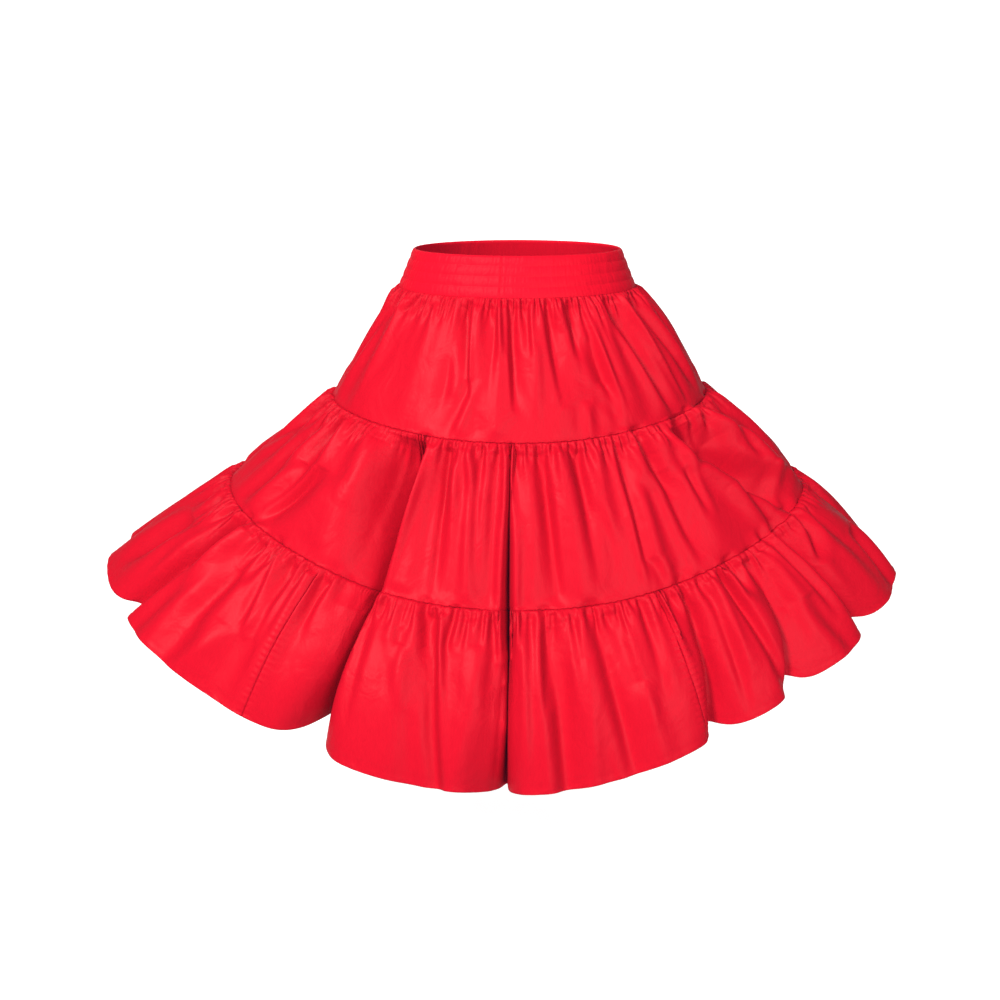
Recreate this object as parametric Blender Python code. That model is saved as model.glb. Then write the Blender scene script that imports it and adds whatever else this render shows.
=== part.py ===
"""Tiered skirt: an elastic waistband and three gathered tiers, the lowest in four panels.

Metres, +Z up, the front towards -Y. The origin is the middle of the waist, halfway up the band,
where a wearer holds the skirt. The skirt is open at the waist and at the hem.
A level runs down the cloth: 0 at the band's foot, 1 and 2 at the two tier seams, 3 at the hem.
An azimuth is an angle round the waist in degrees: 0 in front, 90 towards +X.
"""

from collections import namedtuple
from math import pi

import bmesh
import bpy
import numpy as np

MM = 0.001

CLOTH = 1.5 * MM
BAND_CLOTH = 2.6 * MM
SEAM_GAP = 0.3 * MM
BAND_HALF_HEIGHT = 25 * MM
CHANNELS = 4
CHANNEL_RISE = 1.1 * MM
BAND_COLUMNS = 64

RED = (0.80, 0.010, 0.030, 1.0)
RED_BAND = (0.74, 0.009, 0.028, 1.0)
ROUGHNESS = 0.55
METALLIC = 0.0

# Reach from the axis and height of each ring, in mm. The powers say how quickly
# the height changes between the front or back and the sides.
Ring = namedtuple(
    "Ring",
    "left right front back z_left z_right z_front z_back power_left power_right power_back",
)
WAIST = Ring(140, 140, 106, 106, 25, 25, 25, 25, 2, 2, 2)
RINGS = (
    Ring(162, 162, 124, 124, -25, -25, -25, -25, 2, 2, 2),
    Ring(261, 268, 197, 192, -175, -170, -192, -194, 2.6, 2.6, 3.0),
    Ring(416, 416, 292, 286, -296, -300, -375, -384, 3.0, 2.8, 4.0),
    Ring(607, 562, 402, 388, -411, -412, -563, -570, 2.7, 1.85, 4.6),
)

# A row for each tier: columns round, gathers round, depth of a gather in mm and how far
# down the tier the gathers are deepest, as a share of it, and how far the cloth swells out
# halfway down at the left, right and front, in mm.
Tier = namedtuple("Tier", "columns gathers depth deepest swell_left swell_right swell_front")
TIERS = (
    Tier(140, 28, 1.7, 0.10, 2, 10, 3),
    Tier(190, 38, 2.6, 0.09, 1, 6, 3),
    Tier(300, 60, 3.0, 0.09, 3, 8, 13),
)
ROWS = (0.0, 0.05, 0.13, 0.30, 0.62, 1.0)

# Folds: where each starts and ends down the cloth, its azimuth, depth in mm (a ridge is
# negative) and width in mm to its left and right at the start and at the end, and how far
# it draws up the hem, in mm.
Fold = namedtuple("Fold", "top foot azimuth turn start end left right rise")
FRONT_FOLDS = (
    Fold(0.95, 3.0, -38, 4, 2, 50, 40, 14, 50),
    Fold(0.90, 3.0, -3, 2, 2, 44, 15, 15, 16),
    Fold(1.85, 3.0, 39, -5, 3, 34, 15, 30, 22),
    Fold(1.85, 3.0, 57, -9, 2, 26, 14, 32, 26),
    Fold(1.80, 3.0, 64, 1, 4, 30, 14, 36, 30),
    Fold(1.95, 3.0, -68, -4, 4, 24, 32, 14, 22),
    Fold(1.70, 3.0, -42, -16, -2, -10, 22, 20, 0),
    Fold(2.00, 3.0, -18, 1, 1, 8, 20, 26, 0),
    Fold(2.05, 3.0, 14, 2, 1, 8, 24, 18, 0),
    Fold(0.95, 1.95, 57, 9, 3, 9, 20, 26, 0),
    Fold(1.00, 1.95, 41, 4, 2, 7, 18, 22, 0),
    Fold(1.05, 1.95, -23, 2, 1, 4, 16, 20, 0),
    Fold(1.05, 1.95, -66, -4, 1, 6, 24, 20, 0),
    Fold(0.00, 0.95, -32, 2, 2, 6, 10, 16, 0),
    Fold(0.10, 0.85, -4, 3, 2, 4, 10, 12, 0),
    Fold(0.05, 0.80, 16, 7, 2, 5, 10, 16, 0),
    Fold(0.00, 0.90, 34, 2, 2, 5, 12, 14, 0),
    Fold(0.05, 0.95, 53, 7, 2, 7, 12, 18, 0),
    Fold(0.00, 0.80, 71, 16, 2, 6, 14, 20, 0),
    Fold(0.05, 0.80, -58, -4, 2, 4, 12, 16, 0),
)
BACK_FOLDS = (
    Fold(1.80, 3.0, 88, 1, 2, 28, 26, 30, 20),
    Fold(1.70, 3.0, 111, -2, 3, 34, 20, 30, 26),
    Fold(0.95, 3.0, 137, 2, 2, 42, 30, 18, 30),
    Fold(1.85, 3.0, 158, -2, 3, 26, 18, 26, 16),
    Fold(0.90, 3.0, 181, 2, 2, 40, 18, 18, 20),
    Fold(1.85, 3.0, -155, 2, 3, 28, 28, 18, 18),
    Fold(0.95, 3.0, -131, -3, 2, 40, 20, 34, 30),
    Fold(1.80, 3.0, -109, 2, 3, 30, 24, 22, 22),
    Fold(1.85, 3.0, -92, 1, 2, 16, 20, 24, 6),
    Fold(0.95, 1.95, 120, 5, 2, 8, 20, 24, 0),
    Fold(1.00, 1.95, 166, -3, 2, 6, 18, 20, 0),
    Fold(1.00, 1.95, -148, 3, 2, 7, 18, 22, 0),
    Fold(1.00, 1.95, -112, -4, 2, 7, 20, 20, 0),
    Fold(0.00, 0.90, 104, 4, 2, 5, 12, 16, 0),
    Fold(0.00, 0.85, 131, -3, 2, 5, 12, 14, 0),
    Fold(0.05, 0.90, 160, 2, 2, 5, 12, 14, 0),
    Fold(0.00, 0.85, -166, -3, 2, 5, 12, 14, 0),
    Fold(0.05, 0.90, -139, 4, 2, 5, 14, 12, 0),
    Fold(0.00, 0.85, -112, -3, 2, 5, 14, 14, 0),
    Fold(0.05, 0.80, -86, -5, 2, 5, 14, 14, 0),
)
FOLDS = FRONT_FOLDS + BACK_FOLDS

# How folds begin and end: the share of their width at the top, the levels over which they
# appear and die away, and how their depth and rise grow on the way down.
TOP_WIDTH = 0.55
APPEAR = 0.15
DIE_AWAY = 0.25
DEPTH_GROWTH = 1.3
RISE_GROWTH = 1.5

# How uneven the gathers are: two drifts of their spacing, as a count round and a shift in
# radians, then their mean height, its change and count round, and how far they puff out.
SLOW_DRIFT = (5, 0.9)
QUICK_DRIFT = (11, 0.6)
MEAN_HEIGHT = 0.75
HEIGHT_CHANGE = 0.25
HEIGHT_COUNT = 7
PUFF = 0.35

# Small steps down and round the cloth, for the direction square to it.
SHARE_STEP = 0.004
TURN_STEP = 0.004

# The joins between the four panels of the lowest tier, as azimuths.
Panel = namedtuple("Panel", "name start end")
PANELS = (
    Panel("tier_3_front", -46, 32),
    Panel("tier_3_right", 32, 121),
    Panel("tier_3_back", 121, 232),
    Panel("tier_3_left", 232, 314),
)


def unit(vectors):
    return vectors / np.linalg.norm(vectors, axis=-1, keepdims=True)


def ring_point(ring, angle):
    """A point of a ring, and the level direction square to it."""
    sine, cosine = np.sin(angle), np.cos(angle)
    wide = np.where(sine > 0, ring.right, ring.left) * MM
    deep = np.where(cosine > 0, ring.front, ring.back) * MM
    reach = 1 / np.hypot(sine / wide, cosine / deep)
    plain = np.where(cosine > 0, ring.z_front, ring.z_back) * MM
    side = np.where(sine > 0, ring.z_right, ring.z_left) * MM
    power = np.where(sine > 0, ring.power_right, ring.power_left)
    power = np.where(cosine > 0, power, ring.power_back)
    height = plain + (side - plain) * np.abs(sine) ** power
    point = np.stack([reach * sine, -reach * cosine, height], -1)
    level = np.stack([sine / wide**2, -cosine / deep**2, np.zeros_like(sine)], -1)
    return point, unit(level)


def fall(upper, lower, angle):
    """How far the cloth goes outward and down from one ring to the next, as a direction."""
    step = ring_point(lower, angle)[0] - ring_point(upper, angle)[0]
    out = np.hypot(step[..., 0], step[..., 1])
    return unit(np.stack([out, step[..., 2]], -1))


def slope_at_ring(number, angle):
    """The mean slope of the pieces that meet at a ring, so that both share its direction."""
    above = (WAIST,) + RINGS
    slopes = [fall(above[number], above[number + 1], angle)]
    if number < len(RINGS) - 1:
        slopes.append(fall(RINGS[number], RINGS[number + 1], angle))
    return unit(sum(slopes))


def frame_at(level, angle):
    """The smooth form without folds: a point, the outward direction and the way down."""
    number = np.clip(np.floor(level).astype(int), 0, len(TIERS) - 1)
    point = np.zeros(level.shape + (3,))
    outward = np.zeros_like(point)
    down = np.zeros_like(point)
    for tier, row in enumerate(TIERS):
        here = number == tier
        share = (level[here] - tier)[..., None]
        turn = angle[here]
        top, top_level = ring_point(RINGS[tier], turn)
        foot, foot_level = ring_point(RINGS[tier + 1], turn)
        slope = unit(slope_at_ring(tier, turn) * (1 - share) + slope_at_ring(tier + 1, turn) * share)
        across = unit(top_level * (1 - share) + foot_level * share)
        upright = np.zeros_like(across)
        upright[..., 2] = 1
        out = across * -slope[..., 1:] + upright * slope[..., :1]
        sine = np.sin(turn)[..., None]
        side = np.where(sine > 0, row.swell_right, row.swell_left)
        swell = row.swell_front + (side - row.swell_front) * np.abs(sine) ** 3
        swell = swell * MM * np.sin(pi * share)
        point[here] = top + (foot - top) * share + out * swell
        outward[here] = out
        down[here] = across * slope[..., :1] + upright * slope[..., 1:]
    return point, outward, down


def signed_turn(angle):
    return (angle + pi) % (2 * pi) - pi


def folds_at(level, angle, reach):
    """Depth of all the folds at a place, and how far they draw the cloth up."""
    depth = np.zeros_like(level)
    rise = np.zeros_like(level)
    for fold in FOLDS:
        share = np.clip((level - fold.top) / (fold.foot - fold.top), 0, 1)
        centre = np.radians(fold.azimuth + fold.turn * share)
        apart = signed_turn(angle - centre) * reach
        width = np.where(apart < 0, fold.left, fold.right) * MM * (TOP_WIDTH + (1 - TOP_WIDTH) * share)
        shape = 1 / (1 + (apart / width) ** 2)
        inside = (level > fold.top) & (level < fold.foot + 1e-6)
        fade = np.clip((level - fold.top) / APPEAR, 0, 1)
        if fold.foot < len(TIERS):
            fade = fade * np.clip((fold.foot - level) / DIE_AWAY, 0, 1)
        along = (fold.start + (fold.end - fold.start) * share**DEPTH_GROWTH) * MM
        depth += np.where(inside, along * shape * fade, 0)
        lowest = np.clip(level - len(TIERS) + 1, 0, 1)
        rise += np.where(inside, fold.rise * MM * lowest**RISE_GROWTH * shape**2, 0)
    return depth, rise


def gathers_at(number, share, angle):
    """The small waves under a tier's seam: full just below it and gone at the tier's foot."""
    tier = TIERS[number]
    drift = SLOW_DRIFT[1] * np.sin(SLOW_DRIFT[0] * angle + number)
    drift = drift + QUICK_DRIFT[1] * np.sin(QUICK_DRIFT[0] * angle + 2 * number)
    wave = np.sin(tier.gathers * angle + drift)
    uneven = MEAN_HEIGHT + HEIGHT_CHANGE * np.sin(HEIGHT_COUNT * angle + 2 * number)
    along = share / tier.deepest
    height = along * np.exp(1 - along)
    return tier.depth * MM * height * (PUFF + uneven * wave)


def cloth_point(number, share, angle):
    """The outer face of a tier."""
    level = np.clip(number + share, 0, number + 1 - 1e-9)
    point, outward, down = frame_at(level, angle)
    reach = np.hypot(point[..., 0], point[..., 1])
    depth, rise = folds_at(number + share, angle, reach)
    raised = gathers_at(number, share, angle) - depth
    return point + outward * raised[..., None] - down * rise[..., None], outward, down


def cloth_normal(number, share, angle):
    """The direction square to a tier's outer face, the same on both sides of a join."""
    below = cloth_point(number, np.clip(share + SHARE_STEP, 0, 1), angle)[0]
    above = cloth_point(number, np.clip(share - SHARE_STEP, 0, 1), angle)[0]
    right = cloth_point(number, share, angle + TURN_STEP)[0]
    left = cloth_point(number, share, angle - TURN_STEP)[0]
    return unit(np.cross(below - above, right - left))


def wall(name, outer, inner, closed, colour):
    """A closed sheet between two grids of points; a closed one runs all round."""
    rows, columns = outer.shape[:2]
    mesh = bpy.data.meshes.new(name)
    form = bmesh.new()
    outside = [[form.verts.new(p) for p in row] for row in outer]
    inside = [[form.verts.new(p) for p in row] for row in inner]
    last = columns if closed else columns - 1
    for i in range(rows - 1):
        for j in range(last):
            k = (j + 1) % columns
            form.faces.new((outside[i][j], outside[i + 1][j], outside[i + 1][k], outside[i][k]))
            form.faces.new((inside[i][k], inside[i + 1][k], inside[i + 1][j], inside[i][j]))
    for j in range(last):
        k = (j + 1) % columns
        form.faces.new((outside[0][k], inside[0][k], inside[0][j], outside[0][j]))
        form.faces.new((outside[-1][j], inside[-1][j], inside[-1][k], outside[-1][k]))
    if not closed:
        for i in range(rows - 1):
            form.faces.new((outside[i][0], inside[i][0], inside[i + 1][0], outside[i + 1][0]))
            form.faces.new((outside[i + 1][-1], inside[i + 1][-1], inside[i][-1], outside[i][-1]))
    bmesh.ops.triangulate(form, faces=form.faces[:])
    form.to_mesh(mesh)
    form.free()
    material = bpy.data.materials.new(name + "_cloth")
    material.use_nodes = True
    surface = material.node_tree.nodes["Principled BSDF"]
    surface.inputs["Base Color"].default_value = colour
    surface.inputs["Roughness"].default_value = ROUGHNESS
    surface.inputs["Metallic"].default_value = METALLIC
    mesh.materials.append(material)
    piece = bpy.data.objects.new(name, mesh)
    bpy.data.collections["tiered_skirt"].objects.link(piece)
    return piece


def waistband():
    """The elastic band: four raised channels outside, plain inside."""
    shares = np.linspace(0, 1, 2 * CHANNELS + 1)
    angles = np.linspace(0, 2 * pi, BAND_COLUMNS, endpoint=False)
    share, angle = np.meshgrid(shares, angles, indexing="ij")
    top, top_level = ring_point(WAIST, angle)
    foot, foot_level = ring_point(RINGS[0], angle)
    middle = top + (foot - top) * share[..., None]
    slope = fall(WAIST, RINGS[0], angle)
    across = unit(top_level + foot_level)
    upright = np.zeros_like(across)
    upright[..., 2] = 1
    outward = across * -slope[..., 1:] + upright * slope[..., :1]
    rise = CHANNEL_RISE * np.abs(np.sin(CHANNELS * pi * share))[..., None]
    outer = middle + outward * rise
    inner = middle - outward * BAND_CLOTH
    return wall("waistband", outer, inner, True, RED_BAND)


def tier_wall(name, number, angles, closed):
    """One tier, or a panel of it, hung from the ring above."""
    share, angle = np.meshgrid(np.array(ROWS), angles, indexing="ij")
    outer, outward, down = cloth_point(number, share, angle)
    if not closed:
        for column, way in ((0, 1), (-1, -1)):
            reach = np.hypot(outer[:, column, 0], outer[:, column, 1])
            angle[:, column] += way * SEAM_GAP / 2 / reach
        outer, outward, down = cloth_point(number, share, angle)
    normals = cloth_normal(number, share, angle)
    normals[0] = outward[0]
    if number < len(TIERS) - 1:
        normals[-1] = outward[-1]
    inner = outer - normals * CLOTH
    outer[0] += down[0] * SEAM_GAP
    inner[0] += down[0] * SEAM_GAP
    return wall(name, outer, inner, closed, RED)


def main():
    for old in list(bpy.data.objects):
        bpy.data.objects.remove(old)
    home = bpy.data.collections.new("tiered_skirt")
    bpy.context.scene.collection.children.link(home)
    waistband()
    for number, tier in enumerate(TIERS[:-1]):
        angles = np.linspace(0, 2 * pi, tier.columns, endpoint=False)
        tier_wall("tier_" + str(number + 1), number, angles, True)
    lowest = len(TIERS) - 1
    for panel in PANELS:
        span = panel.end - panel.start
        columns = round(TIERS[lowest].columns * span / 360) + 1
        angles = np.radians(np.linspace(panel.start, panel.end, columns))
        tier_wall(panel.name, lowest, angles, False)


main()
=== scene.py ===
"""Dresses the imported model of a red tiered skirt: gathered cloth, elastic band, sewing and studio.

Metres, +Z up, the front towards -Y, the origin in the middle of the waist.
A level runs down the cloth: 0 at the band's foot, 1 and 2 at the tier seams, 3 at the hem.
An azimuth is an angle round the waist in degrees: 0 in front, 90 towards +X.
"""

from collections import namedtuple
from math import pi, radians

import bpy
import numpy as np
from bpy.props import FloatProperty, FloatVectorProperty, IntProperty, PointerProperty
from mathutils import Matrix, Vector


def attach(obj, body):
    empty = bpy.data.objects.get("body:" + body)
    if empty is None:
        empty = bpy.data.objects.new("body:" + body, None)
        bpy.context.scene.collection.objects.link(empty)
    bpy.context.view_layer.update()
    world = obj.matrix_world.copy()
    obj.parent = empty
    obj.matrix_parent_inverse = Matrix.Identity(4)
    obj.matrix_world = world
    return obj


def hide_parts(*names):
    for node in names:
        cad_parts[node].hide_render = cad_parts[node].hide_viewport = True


bl_info = {
    "name": "Tiered Skirt",
    "version": (1, 0, 0),
    "blender": (4, 5, 0),
    "location": "3D View > Sidebar > Skirt",
    "description": "Makes a gathered skirt of three tiers on an elastic waistband",
    "category": "Add Mesh",
}

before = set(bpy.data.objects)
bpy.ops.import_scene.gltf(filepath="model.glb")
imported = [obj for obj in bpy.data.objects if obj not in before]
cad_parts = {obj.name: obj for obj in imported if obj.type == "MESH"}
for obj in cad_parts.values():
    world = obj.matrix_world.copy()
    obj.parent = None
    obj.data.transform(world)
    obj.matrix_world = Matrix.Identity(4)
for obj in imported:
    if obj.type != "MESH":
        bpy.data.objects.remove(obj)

MM = 0.001
BODY = "root"
IMAGE_PX = 1000

# The camera of the photograph: where it stands, what it looks at and its focal length in px.
CAMERA_AT = (-0.0235, -1.30, 0.154)
CAMERA_LOOKS_AT = (-0.0235, 0.0, -0.343)
FOCAL_PX = 928
SENSOR_MM = 36

# The band: half its height, the reach of its front from the axis, the rows and columns of its
# mesh and how many rows outside go to one inside, the channels of elastic and how they rise,
# its thickness and the azimuth of its join.
BAND_HALF_HEIGHT = 25 * MM
BAND_REACH = 0.11
BAND_ROWS = 57
BAND_COLUMNS = 1100
INNER_STEP = 4
CHANNELS = 4
CHANNEL_RISE = 0.8 * MM
CHANNEL_POWER = 0.75
BAND_CLOTH = 2.6 * MM
BAND_JOIN = -11

# What is sewn on it: the mesh rows between its channels, and the stitches down both sides of
# the join, by their distance from it and the mesh rows that they run down.
BAND_STITCH_ROWS = (14, 28, 42)
BAND_JOIN_STITCHES = (-1.6 * MM, 1.6 * MM)
BAND_JOIN_ROWS = slice(4, -2)

# Ripples of the band's cloth: how many go round and their size beside each other. Then the
# share of all of them that is left, the share that stays on the sewn lines, and inside.
BAND_RIPPLES = ((61, 0.5), (97, 0.8), (143, 1.0), (211, 0.7))
RIPPLE_SHARE = 0.4
RIPPLE_SEWN = 0.35
RIPPLE_INSIDE = 0.5

# Reach from the axis and height of each ring, in mm. The powers say how quickly
# the height changes between the front or back and the sides.
Ring = namedtuple(
    "Ring",
    "left right front back z_left z_right z_front z_back power_left power_right power_back",
)
WAIST = Ring(140, 140, 106, 106, 25, 25, 25, 25, 2, 2, 2)
RINGS = (
    Ring(162, 162, 124, 124, -25, -25, -25, -25, 2, 2, 2),
    Ring(261, 268, 197, 192, -175, -170, -192, -194, 2.6, 2.6, 3.0),
    Ring(416, 416, 292, 286, -296, -300, -375, -384, 3.0, 2.8, 4.0),
    Ring(607, 562, 402, 388, -411, -412, -563, -570, 2.7, 1.85, 4.6),
)

# A row for each tier: rows and columns of the mesh, how far the cloth swells out halfway
# down at the left, right and front in mm, and the mean spacing of the gathers in mm of cloth.
Tier = namedtuple("Tier", "rows columns swell_left swell_right swell_front pitch")
TIERS = (
    Tier(84, 800, 2, 10, 3, 12),
    Tier(90, 1040, 1, 6, 3, 15),
    Tier(94, 1640, 3, 8, 13, 17),
)

# The power says how quickly a swell changes between the front and the sides.
SWELL_POWER = 3

# Folds: where each starts and ends down the cloth, its azimuth and how far that turns on the
# way down, in degrees, its depth at both ends (a ridge is negative), its width to its left and
# right, how far it draws up the hem, and how far the cloth on its left (-) or right (+) laps
# over it at the hem, all in mm. Its pinch says how far both its sides close over it, as a
# share of its width.
Fold = namedtuple("Fold", "top foot azimuth turn start end left right rise lap pinch")
FRONT_FOLDS = (
    (0.95, 3.0, -34, -1.5, 3, 62, 13, 9, 16, 8, 0.45),
    (2.40, 3.0, -36, 0.5, 0, 34, 34, 14, 46, 0, 0),
    (0.90, 3.0, -3, 1, 1, 42, 7, 5, 5, 4, 0.75),
    (2.56, 3.0, -2.5, -0.5, 0, 42, 22, 8, 2, 0, 0),
    (1.85, 3.0, 39, -5, 3, 34, 15, 30, 22, -9, 0.3),
    (1.85, 3.0, 57, -9, 2, 26, 14, 32, 26, -8, 0.5),
    (1.80, 3.0, 64, 1, 4, 30, 14, 36, 30, -8, 0.4),
    (1.95, 3.0, -68, -4, 4, 24, 32, 14, 22, 8, 0.3),
    (1.70, 3.0, -42, -16, -2, -10, 22, 20, 0, 0, 0),
    (2.00, 3.0, -18, 1, 1, 8, 20, 26, 0, 0, 0),
    (2.05, 3.0, 14, 2, 1, 8, 24, 18, 0, 0, 0),
    (0.95, 1.95, 57, 9, 3, 9, 20, 26, 0, 0, 0),
    (1.00, 1.95, 41, 4, 2, 7, 18, 22, 0, 0, 0),
    (1.05, 1.95, -23, 2, 1, 4, 16, 20, 0, 0, 0),
    (1.05, 1.95, -66, -4, 1, 6, 24, 20, 0, 0, 0),
    (0.00, 0.95, -32, 2, 2, 6, 10, 16, 0, 0, 0),
    (0.10, 0.85, -4, 3, 2, 4, 10, 12, 0, 0, 0),
    (0.05, 0.80, 16, 7, 2, 5, 10, 16, 0, 0, 0),
    (0.00, 0.90, 34, 2, 2, 5, 12, 14, 0, 0, 0),
    (0.05, 0.95, 53, 7, 2, 7, 12, 18, 0, 0, 0),
    (0.00, 0.80, 71, 16, 2, 6, 14, 20, 0, 0, 0),
    (0.05, 0.80, -58, -4, 2, 4, 12, 16, 0, 0, 0),
)
BACK_FOLDS = (
    (1.80, 3.0, 88, 1, 2, 28, 26, 30, 20, 0, 0.5),
    (1.70, 3.0, 111, -2, 3, 34, 20, 30, 26, -6, 0.5),
    (0.95, 3.0, 137, 2, 2, 42, 30, 18, 30, 8, 0.5),
    (1.85, 3.0, 158, -2, 3, 26, 18, 26, 16, -5, 0.5),
    (0.90, 3.0, 181, 2, 2, 40, 18, 18, 20, 0, 0.5),
    (1.85, 3.0, -155, 2, 3, 28, 28, 18, 18, 6, 0.5),
    (0.95, 3.0, -131, -3, 2, 40, 20, 34, 30, -8, 0.5),
    (1.80, 3.0, -109, 2, 3, 30, 24, 22, 22, 0, 0.5),
    (1.85, 3.0, -92, 1, 2, 16, 20, 24, 6, 0, 0.5),
    (0.95, 1.95, 120, 5, 2, 8, 20, 24, 0, 0, 0),
    (1.00, 1.95, 166, -3, 2, 6, 18, 20, 0, 0, 0),
    (1.00, 1.95, -148, 3, 2, 7, 18, 22, 0, 0, 0),
    (1.00, 1.95, -112, -4, 2, 7, 20, 20, 0, 0, 0),
    (0.00, 0.90, 104, 4, 2, 5, 12, 16, 0, 0, 0),
    (0.00, 0.85, 131, -3, 2, 5, 12, 14, 0, 0, 0),
    (0.05, 0.90, 160, 2, 2, 5, 12, 14, 0, 0, 0),
    (0.00, 0.85, -166, -3, 2, 5, 12, 14, 0, 0, 0),
    (0.05, 0.90, -139, 4, 2, 5, 14, 12, 0, 0, 0),
    (0.00, 0.85, -112, -3, 2, 5, 14, 14, 0, 0, 0),
    (0.05, 0.80, -86, -5, 2, 5, 14, 14, 0, 0, 0),
)
FOLDS = tuple(Fold(*row) for row in FRONT_FOLDS + BACK_FOLDS)

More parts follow.
